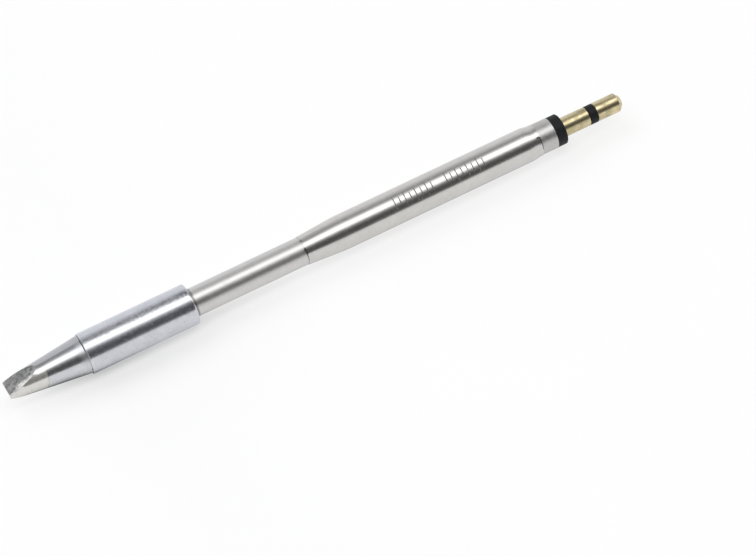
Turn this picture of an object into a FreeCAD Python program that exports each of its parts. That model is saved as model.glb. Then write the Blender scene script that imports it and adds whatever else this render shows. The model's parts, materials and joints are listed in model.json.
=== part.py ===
import FreeCAD, Part
import math
import operator
import os
from types import SimpleNamespace

import Sketcher

# Soldering iron tip of the cartridge kind: a chisel bit and its heater barrel at the front, a thin neck
# tube, a wider body tube swaged down at both ends, and a stack of contacts and insulators at the rear.
# +X runs from the chisel to the contacts, +Z is up, and the tip lies on its heater barrel.
# The chisel's flats face up and down, and the bit is rolled a little about the axis, in degrees.

SIZES = {
    # Chisel bit
    "cone_tip_diameter": 3.1,
    "cone_base_diameter": 6.0,
    "cone_length": 12.5,
    "blade_thickness": 0.55,
    "blade_rounding": 0.12,
    "flat_length": 5.1,
    "bit_roll": 7.5,
    "spigot_diameter": 4.8,
    "spigot_length": 5.0,
    # Heater barrel
    "barrel_diameter": 6.4,
    "barrel_length": 17.4,
    "barrel_front_chamfer": 0.05,
    "barrel_rear_round": 0.35,
    "heater_bore": 3.7,
    # Neck tube
    "neck_diameter": 4.4,
    "neck_wall": 0.25,
    "neck_barrel_insert": 4.0,
    "neck_exposed": 18.4,
    "neck_overhang": 1.0,
    # Body tube
    "body_diameter": 5.4,
    "body_wall": 0.3,
    "body_straight": 31.9,
    "flare_length": 6.2,
    "flare_seat": 1.2,
    "flare_blend": 0.9,
    "rear_taper_length": 1.1,
    "taper_blend": 0.3,
    "rear_lip_length": 0.55,
    "lip_wall": 0.05,
    # Collar
    "collar_diameter": 4.9,
    "collar_wall": 0.4,
    "collar_insert": 2.9,
    "collar_exposed": 2.6,
    # Insulators and contacts at the rear
    "insulator_diameter": 4.85,
    "insulator_flange": 1.7,
    "insulator_chamfer": 0.15,
    "contact_diameter": 3.0,
    "contact_chamfer": 0.15,
    "ring_bore": 1.7,
    "ring_seat": 2.4,
    "ring_seat_diameter": 2.6,
    "ring_exposed": 4.6,
    "spacer_flange": 1.2,
    "end_head_length": 4.4,
    "end_nose_chamfer": 0.6,
    "stem_diameter": 1.0,
    "stem_length": 5.0,
    # Heater, sensor and leads
    "coil_mean_radius": 1.05,
    "heater_recess": 0.4,
    "coil_turns": 6,
    "coil_end_margin": 1.75,
    "wire_diameter": 0.3,
    "sensor_bead_diameter": 0.7,
    # Clearances
    "fit_clearance": 0.02,
    "slip_clearance": 0.05,
    "end_clearance": 0.1,
}

NECK_BEADS = ("neck_bead_front", "neck_bead_rear")
BODY_BEADS = ("body_bead_front", "body_bead_middle", "body_bead_rear")


class Dimension:
    """A length built from sheet cells: its expression for the document and its value for first guesses."""

    def __init__(self, text, value):
        self.text = text
        self.value = value

    def __add__(self, other):
        return combine(self, "+", other)

    def __sub__(self, other):
        return combine(self, "-", other)

    def __mul__(self, other):
        return combine(self, "*", other)

    def __truediv__(self, other):
        return combine(self, "/", other)

    def __neg__(self):
        return Dimension(f"(-{self.text})", -self.value)


def combine(left, sign, right):
    """Join two dimensions, or a dimension and a plain count, by one of the four signs of arithmetic."""
    operations = {
        "+": operator.add,
        "-": operator.sub,
        "*": operator.mul,
        "/": operator.truediv,
    }
    if not isinstance(right, Dimension):
        right = Dimension(str(right), right)
    return Dimension(f"({left.text} {sign} {right.text})", operations[sign](left.value, right.value))


size = SimpleNamespace(**{name: Dimension(f"Sizes.{name}", value) for name, value in SIZES.items()})
ZERO = Dimension("0", 0)

# Stations along the tip, measured from the chisel's edge
SPIGOT_REAR = size.cone_length + size.spigot_length
BARREL_REAR = size.cone_length + size.barrel_length
NECK_FRONT = BARREL_REAR - size.neck_barrel_insert
BODY_FRONT = BARREL_REAR + size.neck_exposed
NECK_REAR = BODY_FRONT + size.flare_length + size.neck_overhang
TAPER_FRONT = BODY_FRONT + size.flare_length + size.body_straight
BODY_REAR = TAPER_FRONT + size.rear_taper_length + size.rear_lip_length
COLLAR_FRONT = BODY_REAR - size.collar_insert
COLLAR_REAR = BODY_REAR + size.collar_exposed
INSULATOR_REAR = COLLAR_REAR + size.insulator_flange
RING_FRONT = INSULATOR_REAR - size.ring_seat
RING_REAR = INSULATOR_REAR + size.ring_exposed
SPACER_REAR = RING_REAR + size.spacer_flange
OVERALL = SPACER_REAR + size.end_head_length
STEM_FRONT = SPACER_REAR - size.stem_length
SENSOR_CENTRE = SPIGOT_REAR + size.sensor_bead_diameter / 2
SENSOR_REAR = SENSOR_CENTRE + size.sensor_bead_diameter / 2
HEATER_REAR = BARREL_REAR - size.heater_recess
COIL_REAR = HEATER_REAR - size.coil_end_margin

# Radii that mating pieces share
WIRE_RADIUS = size.wire_diameter / 2
WIRE_HOLE = WIRE_RADIUS + size.slip_clearance
BARREL_RADIUS = size.barrel_diameter / 2
BODY_RADIUS = size.body_diameter / 2
BODY_BORE = BODY_RADIUS - size.body_wall
NECK_RADIUS = size.neck_diameter / 2
NECK_BORE = NECK_RADIUS - size.neck_wall
NECK_SEAT = NECK_RADIUS + size.fit_clearance
COLLAR_RADIUS = size.collar_diameter / 2
COLLAR_BORE = COLLAR_RADIUS - size.collar_wall
COLLAR_SEAT = COLLAR_RADIUS + size.fit_clearance
CONTACT_RADIUS = size.contact_diameter / 2

# Numbers by which a sketch knows the points of a line, an arc or a circle
START, END, CENTRE = 1, 2, 3

doc = FreeCAD.newDocument("soldering_iron_tip")


def make_sheet():
    """The driving dimensions, in millimetres, one named cell each."""
    sheet = doc.addObject("Spreadsheet::Sheet", "Sizes")
    for row, (name, value) in enumerate(SIZES.items(), start=1):
        sheet.set(f"A{row}", name)
        sheet.set(f"B{row}", str(value))
        sheet.setAlias(f"B{row}", name)
    doc.recompute()


def bind(item, name, dimension):
    item.setExpression(name, dimension.text)


def place(piece, station):
    """Put a piece's origin on the axis at a station, with the tip centred and lying on its barrel."""
    bind(piece, "Placement.Base.x", station - OVERALL / 2)
    bind(piece, "Placement.Base.z", BARREL_RADIUS)


def make_body(label, station):
    """An empty body whose own origin is on the tip's axis, at the station of its front end."""
    body = doc.addObject("PartDesign::Body", label)
    body.Label = label
    place(body, station)
    return body


def new_sketch(body, name, role):
    """A sketch on one of a body's own origin planes."""
    sketch = body.newObject("Sketcher::SketchObject", f"{body.Name}_{name}")
    plane = next(feature for feature in body.Origin.OriginFeatures if feature.Role == role)
    sketch.AttachmentSupport = (plane, [""])
    sketch.MapMode = "FlatFace"
    sketch.Visibility = False
    return sketch


def hold_point(sketch, geometry, point, along, across):
    """Hold a point of a sketch at two dimensions, or on an axis where one of them is zero."""
    horizontal_axis, vertical_axis, origin = -1, -2, START
    for kind, dimension, axis in (("DistanceX", along, vertical_axis), ("DistanceY", across, horizontal_axis)):
        if dimension is ZERO:
            sketch.addConstraint(Sketcher.Constraint("PointOnObject", geometry, point, axis))
            continue
        held = Sketcher.Constraint(kind, horizontal_axis, origin, geometry, point, dimension.value)
        index = sketch.addConstraint(held)
        bind(sketch, f"Constraints[{index}]", dimension)


def bend_between(start, end, level):
    """A convex arc from start to end along an outline, with its tangent level at one of the two."""
    other = start if level is end else end
    run, rise = level.x - other.x, level.y - other.y
    radius = (run * run + rise * rise) / (2 * rise)
    centre = FreeCAD.Vector(level.x, level.y - radius, 0)
    angles = [math.atan2(point.y - centre.y, point.x - centre.x) for point in (end, start)]
    return Part.ArcOfCircle(Part.Circle(centre, FreeCAD.Vector(0, 0, 1), radius), *angles)


def add_outline(sketch, corners, bends=()):
    """A closed clockwise outline through corners, each a pair of dimensions along and across.

    The side that starts at a corner whose number is in bends is an arc. It runs level where it meets
    the straight side beside it that is level, and the other sides are straight.
    """
    count = len(corners)
    points = [FreeCAD.Vector(along.value, across.value, 0) for along, across in corners]
    sides = []
    for number, point in enumerate(points):
        following = points[(number + 1) % count]
        if number in bends:
            level = following if following.y > point.y else point
            sides.append((sketch.addGeometry(bend_between(point, following, level), False), END, START))
        else:
            sides.append((sketch.addGeometry(Part.LineSegment(point, following), False), START, END))
    for number, (geometry, start, end) in enumerate(sides):
        after = (number + 1) % count
        following, following_start, _ = sides[after]
        rising = points[after].y > points[number].y
        tangent = (number in bends and rising) or (after in bends and points[after].y == points[number].y)
        joint = "Tangent" if tangent else "Coincident"
        sketch.addConstraint(Sketcher.Constraint(joint, geometry, end, following, following_start))
        hold_point(sketch, geometry, start, *corners[number])


def add_circle(sketch, across, up, radius):
    """A circle with its centre and radius held by dimensions."""
    centre = FreeCAD.Vector(across.value, up.value, 0)
    circle = sketch.addGeometry(Part.Circle(centre, FreeCAD.Vector(0, 0, 1), radius.value), False)
    hold_point(sketch, circle, CENTRE, across, up)
    index = sketch.addConstraint(Sketcher.Constraint("Radius", circle, radius.value))
    bind(sketch, f"Constraints[{index}]", radius)


def add_square(sketch, up, half):
    """A square outline that is centred above the sketch's origin."""
    low, high = up - half, up + half
    add_outline(sketch, [(-half, low), (-half, high), (half, high), (half, low)])


def turn(body, corners, bends=()):
    """Revolve an outline of (distance along the axis, radius) corners about the body's X axis."""
    sketch = new_sketch(body, "profile", "XZ_Plane")
    add_outline(sketch, corners, bends)
    revolution = body.newObject("PartDesign::Revolution", f"{body.Name}_turned")
    revolution.Profile = sketch
    revolution.ReferenceAxis = (sketch, ["H_Axis"])
    doc.recompute()


def turn_tube(label, front, length, inner, outer):
    """A plain tube between two radii."""
    body = make_body(label, front)
    turn(body, [(ZERO, inner), (ZERO, outer), (length, outer), (length, inner)])
    return body


def checked_cut(body, pocket):
    """Recompute a cut and make sure that it took material away."""
    before = pocket.BaseFeature.Shape.Volume
    doc.recompute()
    if body.Shape.Volume >= before:
        raise RuntimeError(f"{pocket.Name} cut nothing")


def drill_lead_hole(body):
    """A hole right through a body along X for the heater lead, above the axis."""
    sketch = new_sketch(body, "lead_hole", "YZ_Plane")
    add_circle(sketch, ZERO, size.coil_mean_radius, WIRE_HOLE)
    pocket = body.newObject("PartDesign::Pocket", f"{body.Name}_lead_hole_cut")
    pocket.Profile = sketch
    pocket.Type = "ThroughAll"
    pocket.Reversed = True
    checked_cut(body, pocket)


def ease_edges(body, kind, amount, station, rim=None):
    """Fillet or chamfer the edges whose ends all lie at one station and, if a rim is given, at its radius."""
    tolerance = 1e-4
    names = []
    base = body.Tip
    for number, edge in enumerate(base.Shape.Edges, start=1):
        ends = [end.Point for end in edge.Vertexes]
        level = all(abs(end.x - station.value) < tolerance for end in ends)
        if level and all(rim is None or abs(math.hypot(end.y, end.z) - rim.value) < tolerance for end in ends):
            names.append(f"Edge{number}")
    if not names:
        raise RuntimeError(f"{body.Name} has no edge at {station.text}")
    eased = body.newObject(f"PartDesign::{kind}", f"{base.Name}_{kind}")
    eased.Base = (base, names)
    bind(eased, {"Fillet": "Radius", "Chamfer": "Size"}[kind], amount)
    doc.recompute()


def make_bit():
    """Chisel bit: a turned cone with two flats that meet in a blunt edge, and a spigot behind."""
    body = make_body("bit", ZERO)
    body.Placement.Rotation = FreeCAD.Rotation(FreeCAD.Vector(1, 0, 0), size.bit_roll.value)
    bind(body, "Placement.Rotation.Angle", size.bit_roll)
    tip_radius = size.cone_tip_diameter / 2
    base_radius = size.cone_base_diameter / 2
    spigot_radius = size.spigot_diameter / 2
    turn(body, [
        (ZERO, ZERO),
        (ZERO, tip_radius),
        (size.cone_length, base_radius),
        (size.cone_length, spigot_radius),
        (SPIGOT_REAR, spigot_radius),
        (SPIGOT_REAR, ZERO),
    ])
    half_blade = size.blade_thickness / 2
    heel = tip_radius + (base_radius - tip_radius) * size.flat_length / size.cone_length
    flats = new_sketch(body, "flats", "XZ_Plane")
    add_outline(flats, [(ZERO, half_blade), (ZERO, heel), (size.flat_length, heel)])
    add_outline(flats, [(ZERO, -half_blade), (size.flat_length, -heel), (ZERO, -heel)])
    pocket = body.newObject("PartDesign::Pocket", "bit_flats_cut")
    pocket.Profile = flats
    pocket.Type = "ThroughAll"
    pocket.Midplane = True
    checked_cut(body, pocket)
    ease_edges(body, "Fillet", size.blade_rounding, ZERO)
    return body


def make_heater_barrel():
    """Plated barrel round the heater: the bit's spigot seats in its front, the neck tube in its rear."""
    body = make_body("heater_barrel", size.cone_length)
    spigot_seat = size.spigot_diameter / 2 + size.fit_clearance
    heater_bore = size.heater_bore / 2
    neck_shoulder = size.barrel_length - size.neck_barrel_insert
    turn(body, [
        (ZERO, spigot_seat),
        (ZERO, BARREL_RADIUS),
        (size.barrel_length, BARREL_RADIUS),
        (size.barrel_length, NECK_SEAT),
        (neck_shoulder, NECK_SEAT),
        (neck_shoulder, heater_bore),
        (size.spigot_length, heater_bore),
        (size.spigot_length, spigot_seat),
    ])
    ease_edges(body, "Fillet", size.barrel_rear_round, size.barrel_length, BARREL_RADIUS)
    ease_edges(body, "Chamfer", size.barrel_front_chamfer, ZERO, BARREL_RADIUS)
    return body


def make_neck_tube():
    """Thin stainless tube between the heater barrel and the body tube."""
    return turn_tube("neck_tube", NECK_FRONT, NECK_REAR - NECK_FRONT, NECK_BORE, NECK_RADIUS)


def make_body_tube():
    """Wide stainless tube, swaged down to a thin lip on the neck in front and on the collar behind."""
    body = make_body("body_tube", BODY_FRONT)
    front_lip = NECK_SEAT + size.lip_wall
    rear_lip = COLLAR_SEAT + size.lip_wall
    flare_slope = (BODY_RADIUS - front_lip) / size.flare_length
    taper_slope = (BODY_RADIUS - rear_lip) / size.rear_taper_length
    straight_rear = size.flare_length + size.body_straight
    lip_front = straight_rear + size.rear_taper_length
    length = lip_front + size.rear_lip_length
    collar_shoulder = length - size.collar_insert
    flare_bend, taper_bend = 2, 4
    turn(body, [
        (ZERO, NECK_SEAT),
        (ZERO, front_lip),
        (size.flare_length - size.flare_blend, BODY_RADIUS - flare_slope * size.flare_blend),
        (size.flare_length + size.flare_blend, BODY_RADIUS),
        (straight_rear - size.taper_blend, BODY_RADIUS),
        (straight_rear + size.taper_blend, BODY_RADIUS - taper_slope * size.taper_blend),
        (lip_front, rear_lip),
        (length, rear_lip),
        (length, COLLAR_SEAT),
        (collar_shoulder, COLLAR_SEAT),
        (collar_shoulder, BODY_BORE),
        (size.flare_length, BODY_BORE),
        (size.flare_seat, NECK_SEAT),
    ], (flare_bend, taper_bend))
    return body


def make_rear_collar():
    """Stainless collar held in the body tube's rear lip."""
    length = size.collar_insert + size.collar_exposed
    return turn_tube("rear_collar", COLLAR_FRONT, length, COLLAR_BORE, COLLAR_RADIUS)


def make_front_insulator():
    """Black bush with a flange behind the collar, a blind seat for the ring contact and two lead holes."""
    body = make_body("front_insulator", COLLAR_FRONT)
    sleeve = COLLAR_BORE - size.fit_clearance
    flange = size.insulator_diameter / 2
    flange_front = size.collar_insert + size.collar_exposed
    length = flange_front + size.insulator_flange
    seat_floor = length - size.ring_seat
    seat = size.ring_seat_diameter / 2 + size.fit_clearance
    turn(body, [
        (ZERO, WIRE_HOLE),
        (ZERO, sleeve),
        (flange_front, sleeve),
        (flange_front, flange),
        (length, flange),
        (length, seat),
        (seat_floor, seat),
        (seat_floor, WIRE_HOLE),
    ])
    drill_lead_hole(body)
    ease_edges(body, "Chamfer", size.insulator_chamfer, length, flange)
    return body


def make_ring_contact():
    """Tubular contact: a narrow end seats in the front insulator and its shoulder bears on the flange."""
    body = make_body("ring_contact", RING_FRONT)
    bore = size.ring_bore / 2
    seat = size.ring_seat_diameter / 2
    length = size.ring_seat + size.ring_exposed
    turn(body, [
        (ZERO, bore),
        (ZERO, seat),
        (size.ring_seat, seat),
        (size.ring_seat, CONTACT_RADIUS),
        (length, CONTACT_RADIUS),
        (length, bore),
    ])
    ease_edges(body, "Chamfer", size.contact_chamfer, length, CONTACT_RADIUS)
    return body


def make_rear_insulator():
    """Black bush that lines the ring contact and spaces it from the end contact."""
    body = make_body("rear_insulator", RING_FRONT)
    stem_bore = size.stem_diameter / 2 + size.fit_clearance
    sleeve = size.ring_bore / 2 - size.fit_clearance
    flange_front = size.ring_seat + size.ring_exposed
    length = flange_front + size.spacer_flange
    turn(body, [
        (ZERO, stem_bore),
        (ZERO, sleeve),
        (flange_front, sleeve),
        (flange_front, CONTACT_RADIUS),
        (length, CONTACT_RADIUS),
        (length, stem_bore),
    ])
    return body


def make_end_contact():
    """Headed contact pin at the very rear, its stem inside the rear insulator."""
    body = make_body("end_contact", STEM_FRONT)
    stem_radius = size.stem_diameter / 2
    length = size.stem_length + size.end_head_length
    turn(body, [
        (ZERO, ZERO),
        (ZERO, stem_radius),
        (size.stem_length, stem_radius),
        (size.stem_length, CONTACT_RADIUS),
        (length, CONTACT_RADIUS),
        (length, ZERO),
    ])
    ease_edges(body, "Chamfer", size.end_nose_chamfer, length, CONTACT_RADIUS)
    ease_edges(body, "Chamfer", size.contact_chamfer, size.stem_length, CONTACT_RADIUS)
    return body


def make_heater_sleeve():
    """Ceramic sleeve that keeps the heater coil off the barrel's bore."""
    outer = size.heater_bore / 2 - size.slip_clearance
    inner = size.coil_mean_radius + WIRE_RADIUS + size.slip_clearance
    return turn_tube("heater_sleeve", SPIGOT_REAR, HEATER_REAR - SPIGOT_REAR, inner, outer)


def make_heater_core():
    """Ceramic core inside the coil, bored for the sensor wire."""
    front = SENSOR_REAR + size.end_clearance
    outer = size.coil_mean_radius - WIRE_RADIUS - size.slip_clearance
    return turn_tube("heater_core", front, HEATER_REAR - front, WIRE_HOLE, outer)


def make_heater_coil():
    """Square heater wire: a helix round the core, with a radial tail that ends at the sensor bead."""
    body = make_body("heater_coil", SENSOR_CENTRE)
    section = new_sketch(body, "section", "XZ_Plane")
    add_square(section, size.coil_mean_radius, WIRE_RADIUS)
    helix = body.newObject("PartDesign::AdditiveHelix", "heater_coil_helix")
    helix.Profile = section
    helix.ReferenceAxis = (section, ["H_Axis"])
    helix.Mode = "pitch-turns-angle"
    helix.HasBeenEdited = True
    bind(helix, "Pitch", (COIL_REAR - SENSOR_CENTRE) / size.coil_turns)
    bind(helix, "Turns", size.coil_turns)
    doc.recompute()
    bead_radius = size.sensor_bead_diameter / 2
    tail_section = new_sketch(body, "tail_section", "XY_Plane")
    add_square(tail_section, ZERO, WIRE_RADIUS)
    bind(tail_section, "AttachmentOffset.Base.z", bead_radius)
    tail = body.newObject("PartDesign::Pad", "heater_coil_tail")
    tail.Profile = tail_section
    bind(tail, "Length", size.coil_mean_radius - bead_radius)
    doc.recompute()
    return body


def make_wire(label, front, rear, up):
    """A straight round wire along X between two stations, at a height above the axis."""
    body = make_body(label, front)
    section = new_sketch(body, "section", "YZ_Plane")
    add_circle(section, ZERO, up, WIRE_RADIUS)
    pad = body.newObject("PartDesign::Pad", f"{label}_pad")
    pad.Profile = section
    bind(pad, "Length", rear - front)
    doc.recompute()
    return body


def make_sensor_bead():
    """Thermocouple bead that bears on the rear face of the bit's spigot."""
    bead = doc.addObject("Part::Sphere", "sensor_bead")
    bead.Label = "sensor_bead"
    bind(bead, "Radius", size.sensor_bead_diameter / 2)
    place(bead, SENSOR_CENTRE)
    return bead


def make_bead_row(labels, front, rear, bore):
    """Equal two-hole ceramic beads that fill a tube between two stations and carry the leads."""
    pitch = (rear - front) / len(labels)
    length = pitch - size.end_clearance
    beads = []
    for number, label in enumerate(labels):
        station = front + pitch * number + size.end_clearance / 2
        bead = turn_tube(label, station, length, WIRE_HOLE, bore - size.slip_clearance)
        drill_lead_hole(bead)
        beads.append(bead)
    return beads


make_sheet()
pieces = [
    make_bit(),
    make_heater_barrel(),
    make_neck_tube(),
    make_body_tube(),
    make_rear_collar(),
    make_front_insulator(),
    make_ring_contact(),
    make_rear_insulator(),
    make_end_contact(),
    make_heater_sleeve(),
    make_heater_core(),
    make_heater_coil(),
    make_sensor_bead(),
    make_wire("sensor_wire", SENSOR_REAR, STEM_FRONT, ZERO),
    make_wire("heater_lead", COIL_REAR + WIRE_RADIUS, RING_FRONT, size.coil_mean_radius),
    *make_bead_row(NECK_BEADS, HEATER_REAR, NECK_REAR, NECK_BORE),
    *make_bead_row(BODY_BEADS, NECK_REAR, COLLAR_FRONT, BODY_BORE),
]
doc.recompute()

for item in doc.Objects:
    if "Invalid" in item.State or "Error" in item.State:
        raise RuntimeError(f"{item.Name} failed: {item.State}")
for piece in pieces:
    shape = piece.Shape
    if shape.isNull() or not shape.isValid() or len(shape.Solids) != 1:
        raise RuntimeError(f"{piece.Label} is not one sound solid")

os.makedirs("parts", exist_ok=True)
for piece in pieces:
    piece.Shape.exportStep(f"parts/{piece.Label}.step")
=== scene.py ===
import json
import math

import bpy
from mathutils import Matrix, Vector

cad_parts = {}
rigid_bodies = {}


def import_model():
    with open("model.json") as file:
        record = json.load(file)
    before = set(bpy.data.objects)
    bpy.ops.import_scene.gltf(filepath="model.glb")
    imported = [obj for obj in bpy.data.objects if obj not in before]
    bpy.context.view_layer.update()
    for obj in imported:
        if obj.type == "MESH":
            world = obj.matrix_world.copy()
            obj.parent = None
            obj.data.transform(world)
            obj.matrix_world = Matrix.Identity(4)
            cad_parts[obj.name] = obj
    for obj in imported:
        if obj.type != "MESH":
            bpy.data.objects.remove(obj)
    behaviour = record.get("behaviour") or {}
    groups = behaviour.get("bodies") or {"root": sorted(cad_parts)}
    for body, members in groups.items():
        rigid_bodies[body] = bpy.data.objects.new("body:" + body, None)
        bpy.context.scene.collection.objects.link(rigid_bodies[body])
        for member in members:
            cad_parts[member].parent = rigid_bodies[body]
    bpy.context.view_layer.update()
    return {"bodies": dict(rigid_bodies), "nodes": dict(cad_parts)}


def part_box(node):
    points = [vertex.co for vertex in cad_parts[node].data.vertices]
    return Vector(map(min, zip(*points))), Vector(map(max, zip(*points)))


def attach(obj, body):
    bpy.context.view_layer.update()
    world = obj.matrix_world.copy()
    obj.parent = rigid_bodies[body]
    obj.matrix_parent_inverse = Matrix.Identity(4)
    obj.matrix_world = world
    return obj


# Soldering iron tip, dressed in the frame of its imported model. Lengths are in metres. The tip's axis runs
# along +X, and angles round it are measured from the top towards the side that the camera sees.

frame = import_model()
nodes = frame["nodes"]
root = next(iter(frame["bodies"]))

MM = 0.001
MICRON = 0.000001
bit_low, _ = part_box("bit")
barrel_low, barrel_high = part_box("heater_barrel")
body_low, body_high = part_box("body_tube")
AXIS_Z = (barrel_low.z + barrel_high.z) / 2
BODY_RADIUS = (body_high.z - body_low.z) / 2

# Chisel bit: its cone and flats
EDGE_X = bit_low.x
CONE_TIP_RADIUS = 1.55 * MM
CONE_BASE_RADIUS = 3.0 * MM
CONE_LENGTH = 12.5 * MM
FLAT_LENGTH = 5.1 * MM
HALF_BLADE = 0.275 * MM
BIT_ROLL = math.radians(7.5)
CONE_SLOPE = (CONE_BASE_RADIUS - CONE_TIP_RADIUS) / CONE_LENGTH
FLAT_SLOPE = (CONE_TIP_RADIUS + CONE_SLOPE * FLAT_LENGTH - HALF_BLADE) / FLAT_LENGTH

# Tin on the bit: how far behind the edge it ends at one height above the axis, and how that end slants with
# height. The flats' pale rim, a painted highlight, is widest at one place behind the edge, and gets narrower
# on both sides of it.
TINNED_LENGTH = 6.45 * MM
TINNED_HEIGHT = 2.0 * MM
TINNED_SLANT = 0.25
RIM_WIDEST = 1.9 * MM
RIM_NARROWS = 1.6 * MM

# Heat: the dull end of the cone, the line of stains on the barrel, and how far the blots reach from its rear
DULLED_LENGTH = 1.5 * MM
STAIN_LINE_Y = -0.90 * MM
BLOTS_LENGTH = 3.2 * MM

# Body tube: its lips at the two ends, and the flare behind the front one
FRONT_LIP_RADIUS = 2.27 * MM
REAR_LIP_RADIUS = 2.52 * MM
FLARE_LENGTH = 6.2 * MM
FLARE_SLOPE = (BODY_RADIUS - FRONT_LIP_RADIUS) / FLARE_LENGTH

# Frequencies of the noises, per metre, along the tip, to its side and upwards
ROUND_LINES = (26000.0, 260.0, 260.0)
LONG_LINES = (140.0, 7000.0, 7000.0)
MOTTLE = (1500.0, 1500.0, 1500.0)
CLOUDS = (420.0, 420.0, 420.0)
SPECKS = (5200.0, 5200.0, 5200.0)


class Tree:
    """A node tree, with short ways to add nodes and to feed their sockets."""

    def __init__(self, owner):
        owner.use_nodes = True
        self.tree = owner.node_tree
        self.tree.nodes.clear()

    def add(self, kind, sockets=None, **settings):
        node = self.tree.nodes.new(kind)
        for name, value in settings.items():
            setattr(node, name, value)
        for key, value in (sockets or {}).items():
            if isinstance(value, bpy.types.NodeSocket):
                self.tree.links.new(value, node.inputs[key])
            else:
                node.inputs[key].default_value = value
        return node

    def position(self):
        """A point's place in the frame, in metres."""
        return self.add("ShaderNodeTexCoord").outputs["Object"]

    def along_and_round(self):
        """A point's distance along the tip, its offset to the side and its height above the axis."""
        split = self.add("ShaderNodeSeparateXYZ", {0: self.position()})
        return split.outputs[0], split.outputs[1], self.minus(split.outputs[2], AXIS_Z)

    def math(self, operation, first, second=0.0, third=0.0):
        node = self.add("ShaderNodeMath", {0: first, 1: second, 2: third}, operation=operation)
        return node.outputs[0]

    def plus(self, first, second):
        return self.math("ADD", first, second)

    def minus(self, first, second):
        return self.math("SUBTRACT", first, second)

    def times(self, first, second):
        return self.math("MULTIPLY", first, second)

    def apart(self, first, second):
        """How far two numbers are apart."""
        return self.math("ABSOLUTE", self.minus(first, second))

    def radius(self, side, height):
        return self.math("SQRT", self.plus(self.times(side, side), self.times(height, height)))

    def low_share(self, height, radius, full, none):
        """1 below the height where height over radius is one value, fading to 0 at another."""
        return self.spread(self.math("DIVIDE", height, radius), full, none, 1.0, 0.0, smooth=True)

    def noise(self, frequency, detail=3.0, roughness=0.55, distortion=0.0):
        """Noise from 0 to 1 whose frequency, per metre, may differ along the three axes."""
        mapping = self.add("ShaderNodeMapping", {"Vector": self.position(), "Scale": frequency})
        texture = self.add("ShaderNodeTexNoise", {
            "Vector": mapping.outputs[0],
            "Scale": 1.0,
            "Detail": detail,
            "Roughness": roughness,
            "Distortion": distortion,
        })
        return texture.outputs["Fac"]

    def spread(self, value, low, high, to_low=0.0, to_high=1.0, smooth=False):
        """Map one range to another, held at both ends."""
        node = self.add("ShaderNodeMapRange", {
            "Value": value,
            "From Min": low,
            "From Max": high,
            "To Min": to_low,
            "To Max": to_high,
        }, interpolation_type="SMOOTHSTEP" if smooth else "LINEAR")
        return node.outputs[0]

    def mix(self, factor, first, second):
        """Blend two colours."""
        node = self.add("ShaderNodeMix", {0: factor, 6: first, 7: second}, data_type="RGBA")
        return node.outputs[2]

    def blend(self, factor, first, second):
        """Blend two numbers."""
        return self.add("ShaderNodeMix", {0: factor, 2: first, 3: second}, data_type="FLOAT").outputs[0]

    def vary(self, noise, first, second):
        """A number that a noise leads from one value to another."""
        return self.spread(noise, 0.3, 0.7, first, second)

    def tones(self, noise, first, second):
        """A colour that a noise leads from one to another."""
        return self.mix(self.spread(noise, 0.35, 0.65), first, second)

    def bump(self, height, depth, below=None):
        """A bump of that depth in metres, over another normal if one is given."""
        node = self.add("ShaderNodeBump", {"Height": height, "Distance": depth, "Strength": 1.0})
        if below is not None:
            self.tree.links.new(below, node.inputs["Normal"])
        return node.outputs[0]

    def soft_edge(self, size):
        """Normals as if every sharp edge were rounded to that radius."""
        return self.add("ShaderNodeBevel", {"Radius": size}, samples=6).outputs[0]

    def finish(self, **sockets):
        """The surface shader and the output. Underscores in socket names stand for spaces."""
        named = {key.replace("_", " "): value for key, value in sockets.items()}
        shader = self.add("ShaderNodeBsdfPrincipled", named)
        self.add("ShaderNodeOutputMaterial", {"Surface": shader.outputs[0]})


def new_material(name):
    material = bpy.data.materials.new(name)
    return material, Tree(material)


def grey(value, red=0.0, blue=0.0):
    """A grey whose red and blue differ from its green by those shares."""
    return (value * (1 + red), value, value * (1 + blue), 1.0)


def make_steel(name, light, dark, roughness, line_depth, gap_x=None):
    """Drawn and ground stainless steel: fine lines, clouds of tone, scratches, and painted shade behind a
    gap.
    """
    material, tree = new_material(name)
    fine = tree.noise(ROUND_LINES, detail=4.0, roughness=0.7)
    clouds = tree.noise(CLOUDS)
    mottle = tree.noise(MOTTLE, detail=4.0, roughness=0.65)
    scratches = tree.noise((900.0, 3600.0, 12000.0), detail=2.0, distortion=1.2)
    scratch = tree.spread(scratches, 0.66, 0.72)
    colour = tree.mix(tree.spread(tree.blend(0.5, clouds, mottle), 0.36, 0.64), dark, light)
    colour = tree.mix(tree.spread(fine, 0.35, 0.65, 0.0, 0.12), colour, grey(0.42, 0.021, -0.03))
    rough = tree.spread(tree.blend(0.4, mottle, fine), 0.35, 0.65, *roughness)
    rough = tree.plus(rough, tree.times(scratch, 0.08))
    if gap_x is not None:
        along, _, _ = tree.along_and_round()
        # Painted shade on the tube just behind the gap, where the barrel's rear face meets it
        shade_behind_gap = tree.spread(tree.minus(along, gap_x), 0.25 * MM, 0.55 * MM, 0.75, 0.0, smooth=True)
        colour = tree.mix(shade_behind_gap, colour, grey(0.16, 0.02, -0.02))
    normal = tree.bump(fine, line_depth, tree.soft_edge(0.03 * MM))
    normal = tree.bump(scratch, -0.8 * MICRON, normal)
    tree.finish(Base_Color=colour, Metallic=1.0, Roughness=rough, Normal=normal)
    return material


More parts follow.
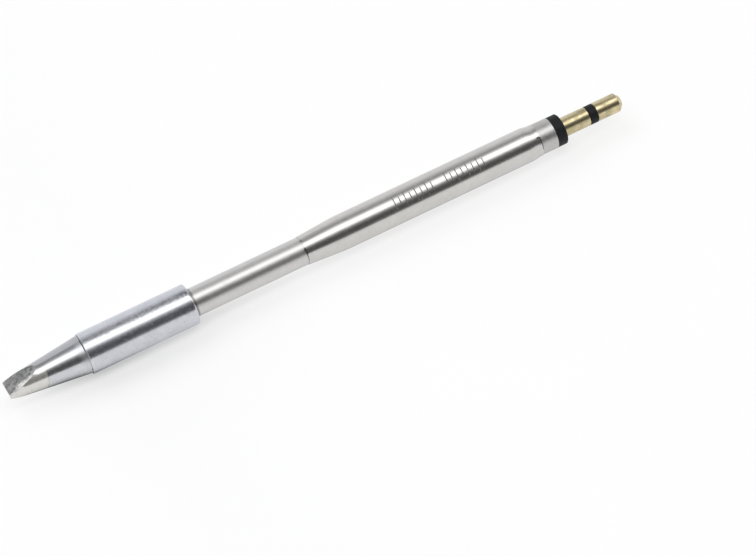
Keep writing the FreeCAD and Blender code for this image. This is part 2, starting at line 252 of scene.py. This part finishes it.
def plating(tree):
    """Colour, roughness, height and pits of bright bluish plating with faint drag lines and haze."""
    drag = tree.noise(LONG_LINES, detail=4.0, roughness=0.65)
    haze = tree.noise(MOTTLE, detail=5.0, roughness=0.7)
    clouds = tree.noise(CLOUDS, detail=2.0)
    pits = tree.spread(tree.noise(SPECKS, detail=2.0), 0.64, 0.72)
    colour = tree.tones(clouds, grey(0.60, -0.01, 0.055), grey(0.65, -0.01, 0.045))
    colour = tree.mix(tree.spread(haze, 0.52, 0.72, 0.0, 0.28), colour, grey(0.48, -0.01, 0.06))
    colour = tree.mix(tree.times(pits, 0.6), colour, grey(0.24, 0.0, 0.05))
    rough = tree.plus(tree.spread(haze, 0.35, 0.7, 0.13, 0.24), tree.vary(drag, 0.0, 0.05))
    rough = tree.plus(rough, tree.times(pits, 0.15))
    height = tree.blend(0.6, drag, haze)
    return colour, rough, height, pits


def make_barrel_plating():
    """Plating rubbed bare at both rims of the barrel, the front one also a painted highlight, with dark heat
    stains in a line near its top.
    """
    material, tree = new_material("barrel_plating_worn")
    colour, rough, height, pits = plating(tree)
    along, side, above = tree.along_and_round()
    from_front = tree.minus(along, barrel_low.x)
    from_rear = tree.minus(barrel_high.x, along)

    # Rubbed rims, all round at the rear, and everywhere but near the top at the front; there the pale rim is
    # also a painted highlight
    ragged = tree.times(tree.noise(MOTTLE), 0.30 * MM)
    front_rub_and_highlight = tree.spread(tree.plus(from_front, ragged), 0.22 * MM, 0.38 * MM, 0.9, 0.0)
    front_rub_and_highlight = tree.times(front_rub_and_highlight, tree.low_share(above, tree.radius(side, above), 0.60, 0.70))
    rear_wear = tree.spread(tree.plus(from_rear, ragged), 0.22 * MM, 0.50 * MM, 0.35, 0.0)
    rubbed_rims_and_highlight = tree.math("MAXIMUM", front_rub_and_highlight, rear_wear)
    colour = tree.mix(tree.times(rubbed_rims_and_highlight, 0.8), colour, grey(0.78, 0.01, -0.02))
    rough = tree.plus(rough, tree.times(rubbed_rims_and_highlight, 0.16))

    # Heat stains on the camera's side of the top: flecks along the whole line, and larger blots near the rear
    from_line = tree.apart(side, STAIN_LINE_Y)
    near_line = tree.spread(from_line, 0.20 * MM, 0.85 * MM, 1.0, 0.0, smooth=True)
    near_line = tree.times(near_line, tree.spread(above, 0.0, 1.0 * MM))
    near_rear = tree.spread(from_rear, 0.5 * MM, BLOTS_LENGTH, 1.0, 0.0, smooth=True)
    blots = tree.spread(tree.noise((1900.0, 2600.0, 2600.0), detail=4.0, roughness=0.7), 0.45, 0.57)
    flecks = tree.spread(tree.noise((2800.0, 4200.0, 4200.0), roughness=0.7), 0.50, 0.62, 0.0, 0.70)
    heated = tree.times(tree.math("MAXIMUM", tree.times(near_rear, blots), flecks), near_line)
    colour = tree.mix(tree.times(heated, 0.80), colour, grey(0.13, 0.0, 0.08))

    normal = tree.bump(height, 6.5 * MICRON, tree.soft_edge(0.05 * MM))
    normal = tree.bump(pits, -6.5 * MICRON, normal)
    tree.finish(Base_Color=colour, Metallic=1.0, Roughness=rough, Normal=normal,
                Sheen_Weight=0.10, Sheen_Roughness=0.8, Sheen_Tint=(0.45, 0.6, 1.0, 1.0))
    return material


def make_bit_surface():
    """Bright plating on the rear of the cone, tin on its front, and dark, blotched flats edged with a pale
    painted highlight.
    """
    material, tree = new_material("bit_tinned_and_plated")
    along, side, above = tree.along_and_round()
    from_edge = tree.minus(along, EDGE_X)
    radius = tree.radius(side, above)
    lower = tree.low_share(above, radius, 0.68, 0.80)
    blotch = tree.noise((2300.0, 2300.0, 2300.0), detail=5.0, roughness=0.62, distortion=0.6)
    flow = tree.noise((420.0, 1700.0, 1700.0))

    # Plating, duller just in front of the barrel
    plated_colour, plated_rough, plated_height, _ = plating(tree)
    dulled = tree.spread(from_edge, CONE_LENGTH - DULLED_LENGTH, CONE_LENGTH - 0.6 * MM, smooth=True)
    plated_rough = tree.plus(plated_rough, tree.times(dulled, 0.16))

    # Tin, which ends at a wavy, slanted ring, and is paler and less metallic everywhere but near the top:
    # painted light that lifts the dark band it mirrors there
    wobble = tree.vary(tree.noise(CLOUDS), -0.10 * MM, 0.10 * MM)
    higher = tree.minus(above, TINNED_HEIGHT)
    reach = tree.math("MULTIPLY_ADD", higher, TINNED_SLANT, TINNED_LENGTH)
    to_ring = tree.minus(tree.plus(from_edge, wobble), reach)
    tinned = tree.spread(to_ring, -0.05 * MM, 0.05 * MM, 1.0, 0.0, smooth=True)
    ring_line = tree.spread(tree.math("ABSOLUTE", to_ring), 0.03 * MM, 0.11 * MM, 1.0, 0.0, smooth=True)
    tinned_below = tree.times(tinned, lower)
    tin_tone = tree.spread(blotch, 0.35, 0.68)
    tin_above = tree.mix(tin_tone, grey(0.56, 0.0, 0.03), grey(0.66, 0.0, 0.02))
    tin_below_painted_light = tree.mix(tin_tone, grey(0.66, 0.02, -0.045), grey(0.74, 0.02, -0.035))
    tin_colour = tree.mix(lower, tin_above, tin_below_painted_light)
    tin_rough = tree.vary(blotch, 0.13, 0.20)

    # The two flats, told from the cone by their distance from the chisel's middle plane
    upright = tree.times(above, math.cos(BIT_ROLL))
    half_height = tree.math("ABSOLUTE", tree.math("MULTIPLY_ADD", side, -math.sin(BIT_ROLL), upright))
    plane = tree.math("MULTIPLY_ADD", from_edge, FLAT_SLOPE, HALF_BLADE)
    on_flat = tree.spread(tree.minus(plane, half_height), 0.004 * MM, 0.03 * MM, 1.0, 0.0)

    # Painted highlight: a pale, less metallic rim of the flats on the camera's side
    cone = tree.math("MULTIPLY_ADD", from_edge, CONE_SLOPE, CONE_TIP_RADIUS)
    swell = tree.spread(tree.apart(from_edge, RIM_WIDEST), 0.0, RIM_NARROWS, 0.50 * MM, 0.0, smooth=True)
    rim_width = tree.plus(swell, tree.spread(blotch, 0.35, 0.65, 0.04 * MM, 0.26 * MM))
    inside_rim = tree.minus(tree.minus(cone, radius), rim_width)
    rim_highlight = tree.spread(inside_rim, -0.14 * MM, 0.14 * MM, 1.0, 0.0, smooth=True)
    near_side = tree.spread(side, -0.8 * MM, -0.3 * MM, 1.0, 0.0)
    rim_highlight = tree.times(rim_highlight, tree.times(on_flat, near_side))
    rim_highlight = tree.times(rim_highlight, tree.spread(flow, 0.36, 0.54, 0.35, 1.0))
    flat_colour = tree.mix(tree.spread(blotch, 0.36, 0.62), grey(0.17, 0.0, 0.02), grey(0.40))
    flat_colour = tree.mix(tree.spread(flow, 0.55, 0.68, 0.0, 0.5), flat_colour, grey(0.62))
    flat_colour = tree.mix(rim_highlight, flat_colour, grey(0.80, 0.015, -0.03))
    flat_rough = tree.vary(blotch, 0.44, 0.30)

    # Plating and tin, with painted shade from the top over to the far side, and the flats over both
    colour = tree.mix(tinned, plated_colour, tin_colour)
    far_side_shade = tree.spread(tree.math("DIVIDE", side, radius), -0.42, -0.10, smooth=True)
    colour = tree.mix(tree.times(far_side_shade, 0.42), colour, grey(0.30, 0.0, 0.05))
    colour = tree.mix(tree.times(ring_line, tree.blend(lower, 0.1, 0.45)), colour, grey(0.34))
    colour = tree.mix(on_flat, colour, flat_colour)
    rough = tree.blend(on_flat, tree.blend(tinned, plated_rough, tin_rough), flat_rough)
    metallic = tree.blend(rim_highlight, tree.blend(tinned_below, 1.0, 0.72), 0.55)

    normal = tree.bump(plated_height, 2.4 * MICRON, tree.soft_edge(0.12 * MM))
    uneven = tree.times(blotch, tree.blend(on_flat, tree.times(tinned, 0.5), 1.0))
    normal = tree.bump(uneven, 10 * MICRON, normal)
    normal = tree.bump(tinned_below, 8 * MICRON, normal)
    tree.finish(Base_Color=colour, Metallic=metallic, Roughness=rough, Normal=normal)
    return material


def make_black_plastic():
    """Dull black plastic with a fine grain and a little dust."""
    material, tree = new_material("insulator_black_matt")
    grain = tree.noise((16000.0, 16000.0, 16000.0))
    clouds = tree.noise(MOTTLE)
    dust = tree.spread(tree.noise(SPECKS, detail=2.0), 0.66, 0.74, 0.0, 0.15)
    colour = tree.tones(clouds, (0.004, 0.0045, 0.006, 1), (0.009, 0.010, 0.013, 1))
    colour = tree.mix(dust, colour, grey(0.06))
    rough = tree.vary(clouds, 0.50, 0.64)
    normal = tree.bump(grain, 4 * MICRON, tree.soft_edge(0.06 * MM))
    tree.finish(Base_Color=colour, Metallic=0.0, Roughness=rough, Normal=normal, Specular_IOR_Level=0.25)
    return material


def make_contact_metal():
    """Plated brass contacts: turning lines, a slight olive tarnish and rubbed bright patches."""
    material, tree = new_material("contact_metal_worn")
    lines = tree.noise((30000.0, 120.0, 120.0), roughness=0.7)
    clouds = tree.noise((900.0, 900.0, 900.0), detail=4.0, roughness=0.6)
    wiped = tree.spread(tree.noise((300.0, 2600.0, 2600.0)), 0.55, 0.68, 0.0, 0.6)
    colour = tree.tones(clouds, (0.40, 0.345, 0.20, 1), (0.66, 0.575, 0.36, 1))
    colour = tree.mix(wiped, colour, (0.80, 0.71, 0.50, 1))
    rough = tree.plus(tree.vary(clouds, 0.30, 0.20), tree.vary(lines, 0.0, 0.06))
    normal = tree.bump(lines, 1.2 * MICRON, tree.soft_edge(0.05 * MM))
    tree.finish(Base_Color=colour, Metallic=1.0, Roughness=rough, Normal=normal)
    return material


def make_ceramic():
    """Unglazed ceramic, warm white and grainy."""
    material, tree = new_material("ceramic_unglazed")
    grain = tree.noise((9000.0, 9000.0, 9000.0), detail=4.0)
    clouds = tree.noise((700.0, 700.0, 700.0))
    colour = tree.tones(clouds, (0.70, 0.66, 0.59, 1), (0.84, 0.81, 0.75, 1))
    rough = tree.vary(grain, 0.60, 0.78)
    normal = tree.bump(grain, 5 * MICRON)
    tree.finish(Base_Color=colour, Metallic=0.0, Roughness=rough, Normal=normal)
    return material


def make_wire_metal():
    """Drawn wire, dulled by heat."""
    material, tree = new_material("heater_wire_dull")
    scale = tree.noise((6000.0, 6000.0, 6000.0), detail=4.0)
    drawn = tree.noise((500.0, 20000.0, 20000.0), detail=2.0)
    colour = tree.tones(scale, grey(0.24, 0.028, -0.04), grey(0.46, 0.021, -0.03))
    rough = tree.vary(scale, 0.38, 0.55)
    normal = tree.bump(drawn, 1.5 * MICRON)
    tree.finish(Base_Color=colour, Metallic=1.0, Roughness=rough, Normal=normal)
    return material


def make_etch():
    """The dull grey of an etched mark or a pit, with fine lines as on the steel."""
    material, tree = new_material("etched_grey")
    lines = tree.noise(ROUND_LINES)
    clouds = tree.noise((3800.0, 3800.0, 3800.0), detail=4.0)
    colour = tree.tones(clouds, grey(0.10, 0.021, -0.03), grey(0.30, 0.014, -0.02))
    rough = tree.vary(lines, 0.40, 0.56)
    normal = tree.bump(lines, 2 * MICRON)
    tree.finish(Base_Color=colour, Metallic=0.7, Roughness=rough, Normal=normal)
    return material


def make_gap_shade():
    """Painted shade in a gap between two pieces: near black and dull."""
    material, tree = new_material("painted_gap_shade")
    clouds = tree.noise(SPECKS, detail=4.0)
    colour = tree.tones(clouds, grey(0.015, 0.014, -0.02), grey(0.07, 0.021, -0.03))
    rough = tree.vary(clouds, 0.55, 0.75)
    normal = tree.bump(clouds, 3 * MICRON)
    tree.finish(Base_Color=colour, Metallic=0.0, Roughness=rough, Normal=normal)
    return material


def paint(material, *names):
    for name in names:
        for slot in nodes[name].material_slots:
            slot.material = material


# Steels of the three tubes: a light and a dark tone, the range of roughness and the depth of the fine lines
neck_steel = make_steel("neck_steel_satin", grey(0.66, 0.013, -0.008), grey(0.60, 0.017, -0.010),
                        (0.33, 0.40), 1.8 * MICRON, gap_x=barrel_high.x)
body_steel = make_steel("body_steel_satin", grey(0.63, 0.018, -0.026), grey(0.57, 0.024, -0.034),
                        (0.18, 0.24), 1.4 * MICRON)
collar_steel = make_steel("collar_steel_dull", grey(0.58, 0.015, -0.02), grey(0.48, 0.015, -0.02),
                          (0.35, 0.44), 2.2 * MICRON)

paint(make_bit_surface(), "bit")
paint(make_barrel_plating(), "heater_barrel")
paint(neck_steel, "neck_tube")
paint(body_steel, "body_tube")
paint(collar_steel, "rear_collar")
paint(make_black_plastic(), "front_insulator", "rear_insulator")
paint(make_contact_metal(), "ring_contact", "end_contact")
paint(make_ceramic(), "heater_sleeve", "heater_core", "neck_bead_front", "neck_bead_rear",
      "body_bead_front", "body_bead_middle", "body_bead_rear")
paint(make_wire_metal(), "heater_coil", "heater_lead", "sensor_wire", "sensor_bead")

# Marks on the surface: how far they stand proud of it and reach into it, and the widest step in degrees
PROUD = 0.018 * MM
SUNK = 0.03 * MM
WIDEST_STEP = 3.0


def on_surface(along, radius, angle):
    """A point at a distance along the tip, a radius and an angle in degrees from the top."""
    turned = math.radians(angle)
    return Vector((along, -radius * math.sin(turned), AXIS_Z + radius * math.cos(turned)))


def in_small_steps(stations):
    """The same stations, with more between them, so that a strip through them hugs the round surface."""
    steps = []
    for start, end in zip(stations, stations[1:]):
        count = max(1, math.ceil((end[0] - start[0]) / WIDEST_STEP))
        for number in range(count):
            share = number / count
            steps.append(tuple(a + (b - a) * share for a, b in zip(start, end)))
    return steps + [stations[-1]]


def add_stroke(points, faces, radius_at, stations):
    """Add a closed strip that lies round the tip, through stations of (angle, middle along, half width)."""
    stations = in_small_steps(stations)
    first = len(points)
    for angle, along, half in stations:
        near, far = along - half, along + half
        points.append(on_surface(near, radius_at(near) + PROUD, angle))
        points.append(on_surface(far, radius_at(far) + PROUD, angle))
        points.append(on_surface(far, radius_at(far) - SUNK, angle))
        points.append(on_surface(near, radius_at(near) - SUNK, angle))
    sides = 4
    for ring in range(len(stations) - 1):
        for side in range(sides):
            after = (side + 1) % sides
            here, beyond = first + ring * sides, first + (ring + 1) * sides
            faces.append((here + side, here + after, beyond + after, beyond + side))
    last = first + (len(stations) - 1) * sides
    faces.append((first + 3, first + 2, first + 1, first))
    faces.append((last, last + 1, last + 2, last + 3))


def add_marks(name, radius_at, strokes, material):
    """One piece made of several strokes on a surface whose radius is a function of the distance along."""
    points, faces = [], []
    for stations in strokes:
        add_stroke(points, faces, radius_at, stations)
    mesh = bpy.data.meshes.new(name)
    mesh.from_pydata(points, [], faces)
    mesh.materials.append(material)
    piece = bpy.data.objects.new(name, mesh)
    bpy.context.scene.collection.objects.link(piece)
    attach(piece, root)


# Two groups of plain graduation ticks on the body tube: how far from its front end each starts, and how many
# it has. A tick runs round the tube between two angles in degrees.
TICK_GROUPS = ((15.175 * MM, 8), (23.875 * MM, 8))
TICK_PITCH = 0.90 * MM
TICK_HALF_WIDTH = 0.08 * MM
LONG_TICK = (16.0, 64.0)
SHORT_TICK = (24.0, 55.0)


def tick(along, low, high):
    """A plain stroke round the tube between two angles, with slightly uneven sides and narrower ends."""
    count = 12
    stations = []
    for number in range(count + 1):
        angle = low + (high - low) * number / count
        uneven = math.sin(number * 2.1 + along * 9000.0)
        end = 0.75 if number in (0, count) else 1.0
        half = TICK_HALF_WIDTH * end * (1 + 0.15 * uneven)
        stations.append((angle, along + 0.008 * MM * uneven, half))
    return stations


ticks = []
for start, count in TICK_GROUPS:
    for number in range(count):
        low, high = SHORT_TICK if number % 2 else LONG_TICK
        ticks.append(tick(body_low.x + start + TICK_PITCH * number, low, high))

# Dark gap at the body tube's front lip, painted shade that is widest near its top end, and a dull pit in the
# same lip. A row holds an angle in degrees, then the middle, measured from the lip's end, and half the width
# in millimetres.
FRONT_GAP = (
    (43, 0.02, 0.05),
    (47, 0.02, 0.15),
    (54, 0.03, 0.20),
    (61, 0.04, 0.16),
    (69, 0.05, 0.07),
    (80, 0.05, 0.035),
    (92, 0.05, 0.028),
    (103, 0.04, 0.015),
)
FRONT_PIT = (
    (5, 0.03, 0.05),
    (7, 0.06, 0.14),
    (9.5, 0.05, 0.18),
    (12, 0.07, 0.12),
    (14, 0.04, 0.04),
)

# Painted shade in the gap just in front of the rear lip's end, with a short leg along the tube at its top end
REAR_GAP = (
    (46, -0.05, 0.07),
    (54, -0.05, 0.09),
    (66, -0.04, 0.07),
    (80, -0.04, 0.05),
    (95, -0.04, 0.03),
)
REAR_LEG = (
    (42, -0.34, 0.16),
    (44.5, -0.30, 0.27),
    (47.5, -0.28, 0.25),
)

# Painted shade in the joint where the bit meets the barrel, by angle and half its width, widest just past the
# top
JOINT_WIDTHS = (
    (-180, 0.012),
    (-35, 0.020),
    (2, 0.045),
    (9, 0.105),
    (16, 0.075),
    (48, 0.060),
    (55, 0.030),
    (63, 0.012),
    (98, 0.012),
    (106, 0.055),
    (115, 0.012),
    (180, 0.012),
)
JOINT_LINE = tuple((angle, -half, half) for angle, half in JOINT_WIDTHS)


def from_place(x, rows):
    """Stations for a stroke, from rows of an angle, a middle measured from x, and half a width."""
    return [(angle, x + middle * MM, half * MM) for angle, middle, half in rows]


def body_radius(along):
    return BODY_RADIUS


def flare_radius(along):
    return FRONT_LIP_RADIUS + FLARE_SLOPE * max(0.0, along - body_low.x)


def rear_lip_radius(along):
    return REAR_LIP_RADIUS


def cone_radius(along):
    return CONE_BASE_RADIUS - CONE_SLOPE * (barrel_low.x - along)


etched = make_etch()
gap_shade = make_gap_shade()
front_gap = from_place(body_low.x, FRONT_GAP)
front_pit = from_place(body_low.x, FRONT_PIT)
rear_gap = from_place(body_high.x, REAR_GAP)
rear_leg = from_place(body_high.x, REAR_LEG)
joint_line = from_place(barrel_low.x, JOINT_LINE)
add_marks("etched_ticks", body_radius, ticks, etched)
add_marks("front_lip_gap", flare_radius, [front_gap], gap_shade)
add_marks("front_lip_pit", flare_radius, [front_pit], etched)
add_marks("rear_lip_gap", rear_lip_radius, [rear_gap, rear_leg], gap_shade)
add_marks("bit_joint_line", cone_radius, [joint_line], gap_shade)

# Floor: half its side, and its grey and painted glow, first where the tip's shadow shows best and then
# elsewhere
FLOOR_REACH = 2.5
SHADOW_GREY = 0.45
SHADOW_GLOW = 0.460
OPEN_GREY = 0.21
OPEN_GLOW = 0.745

# Distances from the chisel's edge between which the floor changes: where the shadow comes and goes, and in
# the glow that the tip mirrors, with its painted shade, where the darkest part brightens and narrows and the
# part beside it brightens
SHADOW_COMES = (3.3 * MM, 14.3 * MM)
SHADOW_GOES = (21.3 * MM, 47.3 * MM)
DARKEST_BRIGHTENS = (8.3 * MM, 23.3 * MM)
DARKEST_NARROWS = (9.3 * MM, 15.3 * MM)
BESIDE_BRIGHTENS = (21.3 * MM, 41.3 * MM)


def make_floor():
    """A plain pale floor with a painted glow, as of a light table, that also shows the tip's shadow from the
    lamp.
    """
    mesh = bpy.data.meshes.new("floor")
    corners = [(x, y, 0) for x, y in ((-1, -1), (1, -1), (1, 1), (-1, 1))]
    mesh.from_pydata([Vector(corner) * FLOOR_REACH for corner in corners], [], [(0, 1, 2, 3)])
    floor = bpy.data.objects.new("floor", mesh)
    bpy.context.scene.collection.objects.link(floor)
    material, tree = new_material("floor_pale")
    along, _, _ = tree.along_and_round()
    mirrored = tree.add("ShaderNodeLightPath").outputs["Is Glossy Ray"]

    # The shadow shows best beside the barrel, and less towards the chisel and along the tubes, where more
    # painted glow fills it
    from_edge = tree.minus(along, EDGE_X)
    to_rear = tree.spread(from_edge, *SHADOW_GOES, 1.0, 0.0)
    shadowed = tree.times(tree.spread(from_edge, *SHADOW_COMES), to_rear)
    clouds = tree.vary(tree.noise((14.0, 14.0, 14.0)), -0.004, 0.004)
    level = tree.plus(tree.blend(shadowed, OPEN_GREY, SHADOW_GREY), clouds)
    lit = tree.blend(mirrored, level, 0.0)
    colour = tree.add("ShaderNodeCombineColor", {0: lit, 1: lit, 2: lit}).outputs[0]

    # The tip mirrors a glow alone, with painted shade from the ambient occlusion: it falls off in the narrow
    # gap under the tip and a little beside it
    openness = tree.add("ShaderNodeAmbientOcclusion", {"Distance": 20 * MM}, samples=8).outputs["AO"]
    darkest = tree.spread(from_edge, *DARKEST_BRIGHTENS, 0.0, 0.70)
    dark_until = tree.spread(from_edge, *DARKEST_NARROWS, 0.70, 0.52)
    painted_shade_under = tree.spread(openness, 0.30, dark_until, darkest, 1.0)
    nearest = tree.spread(from_edge, *BESIDE_BRIGHTENS, 0.84, 0.92)
    painted_shade_beside = tree.spread(openness, 0.52, 0.95, nearest, 1.0)
    seen_glow = tree.blend(shadowed, OPEN_GLOW, SHADOW_GLOW)
    glow = tree.blend(mirrored, seen_glow, tree.times(painted_shade_under, painted_shade_beside))
    tree.finish(Base_Color=colour, Roughness=0.9, Specular_IOR_Level=0.1,
                Emission_Color=(1, 1, 1, 1), Emission_Strength=glow)
    mesh.materials.append(material)


# Brightness of the studio round the tip's axis, by angle in degrees from overhead towards the camera's side
STUDIO = (
    (-90, 0.95),
    (-60, 0.95),
    (-47, 0.90),
    (-36, 0.68),
    (-26, 0.45),
    (-17, 0.37),
    (-10, 0.50),
    (-3, 0.90),
    (4, 1.65),
    (10, 2.20),
    (25, 2.20),
    (32, 1.20),
    (38, 0.52),
    (46, 0.21),
    (56, 0.11),
    (66, 0.085),
    (78, 0.10),
    (85, 0.17),
    (90, 0.50),
)
STUDIO_PEAK = 2.2

# Up to this angle, on the far side, the studio is slightly cool
COOL_UNTIL = -10
COOL_TINT = (-0.004, 0.012)


def make_studio():
    """Soft light from a long overhead panel and pale walls, dimmer on the camera's side."""
    world = bpy.data.worlds.new("studio")
    bpy.context.scene.world = world
    tree = Tree(world)
    direction = tree.add("ShaderNodeTexCoord").outputs["Generated"]
    split = tree.add("ShaderNodeSeparateXYZ", {0: direction})
    angle = tree.math("ARCTAN2", tree.times(split.outputs[1], -1.0), split.outputs[2])
    ramp = tree.add("ShaderNodeValToRGB", {0: tree.spread(angle, -math.pi / 2, math.pi / 2)})
    elements = ramp.color_ramp.elements
    for degrees, _ in STUDIO[1:-1]:
        elements.new((degrees + 90) / 180)
    for element, (degrees, level) in zip(elements, STUDIO):
        tint = COOL_TINT if degrees < COOL_UNTIL else (0.0, 0.0)
        element.color = grey(level / STUDIO_PEAK, *tint)
    around = tree.add("ShaderNodeBackground", {"Color": ramp.outputs[0], "Strength": STUDIO_PEAK})
    backdrop = tree.add("ShaderNodeBackground", {"Color": (1, 1, 1, 1), "Strength": 1.0})
    seen = tree.add("ShaderNodeLightPath").outputs["Is Camera Ray"]
    both = tree.add("ShaderNodeMixShader", {0: seen, 1: around.outputs[0], 2: backdrop.outputs[0]})
    tree.add("ShaderNodeOutputWorld", {"Surface": both.outputs[0]})


# Lamp: its strength, how wide it looks from the tip, and the direction to it
LAMP_STRENGTH = 0.95
LAMP_ACROSS = math.radians(38)
TOWARDS_LAMP = Vector((-0.25, 0.62, 0.74))


def make_lamp():
    """A broad soft lamp behind and above the tip, which throws its shadow towards the camera."""
    data = bpy.data.lights.new("back_lamp", "SUN")
    data.energy = LAMP_STRENGTH
    data.angle = LAMP_ACROSS
    lamp = bpy.data.objects.new("back_lamp", data)
    bpy.context.scene.collection.objects.link(lamp)
    lamp.rotation_mode = "QUATERNION"
    lamp.rotation_quaternion = TOWARDS_LAMP.to_track_quat("Z", "Y")
    lamp.visible_glossy = False


# Camera: its place, the directions to its right and behind it, and its lens and sensor in millimetres
CAMERA_PLACE = Vector((-0.08836, -0.33194, 0.28647))
CAMERA_RIGHT = Vector((0.88181, -0.42855, -0.19688))
CAMERA_BACK = Vector((-0.21047, -0.73119, 0.64890))
CAMERA_LENS = 142.86
CAMERA_SENSOR = 36.0


def make_camera():
    """The view of the photograph: from above and in front of the tip's near side."""
    data = bpy.data.cameras.new("camera")
    data.sensor_width = CAMERA_SENSOR
    data.lens = CAMERA_LENS
    data.clip_start = 0.01
    data.clip_end = 10.0
    camera = bpy.data.objects.new("camera", data)
    bpy.context.scene.collection.objects.link(camera)
    back = CAMERA_BACK.normalized()
    up = back.cross(CAMERA_RIGHT).normalized()
    turn = Matrix((up.cross(back), up, back)).transposed().to_4x4()
    camera.matrix_world = Matrix.Translation(CAMERA_PLACE) @ turn
    bpy.context.scene.camera = camera


make_floor()
make_studio()
make_lamp()
make_camera()

bpy.context.scene.view_settings.view_transform = "Standard"
